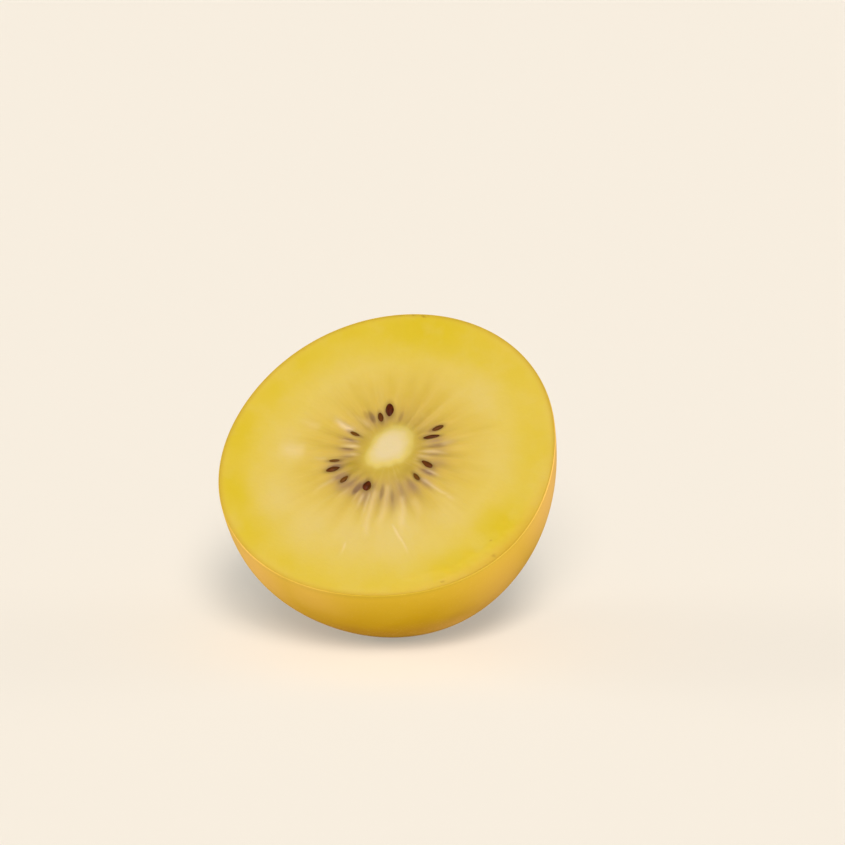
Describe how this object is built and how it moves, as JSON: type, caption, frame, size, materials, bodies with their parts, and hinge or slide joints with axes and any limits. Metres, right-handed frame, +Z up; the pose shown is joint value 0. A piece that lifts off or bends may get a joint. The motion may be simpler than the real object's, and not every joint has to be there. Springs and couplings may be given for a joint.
{
  "type": "half golden kiwi fruit",
  "caption": "Half of a golden kiwi fruit cut across its middle, lying on its skin with the cut face leaning back, seed ring and pale core showing.",
  "frame": {"origin": "on the surface that the half rests on, under the middle of its bounding box", "axes": "+Z up; the cut face leans back, facing -Y and up, turned 10.5 degrees towards -X"},
  "size_m": [0.0532, 0.0506, 0.0483],
  "materials": {
    "golden_flesh": "moist golden flesh, paler towards the core, with fine pale rays",
    "golden_skin": "thin dry golden brown skin with fine pale specks",
    "seed": "gloss",
    "stem_scar": "matte"
  },
  "bodies": {
    "root": {"kiwi_half": "golden_flesh"}
  },
  "joints": []
}
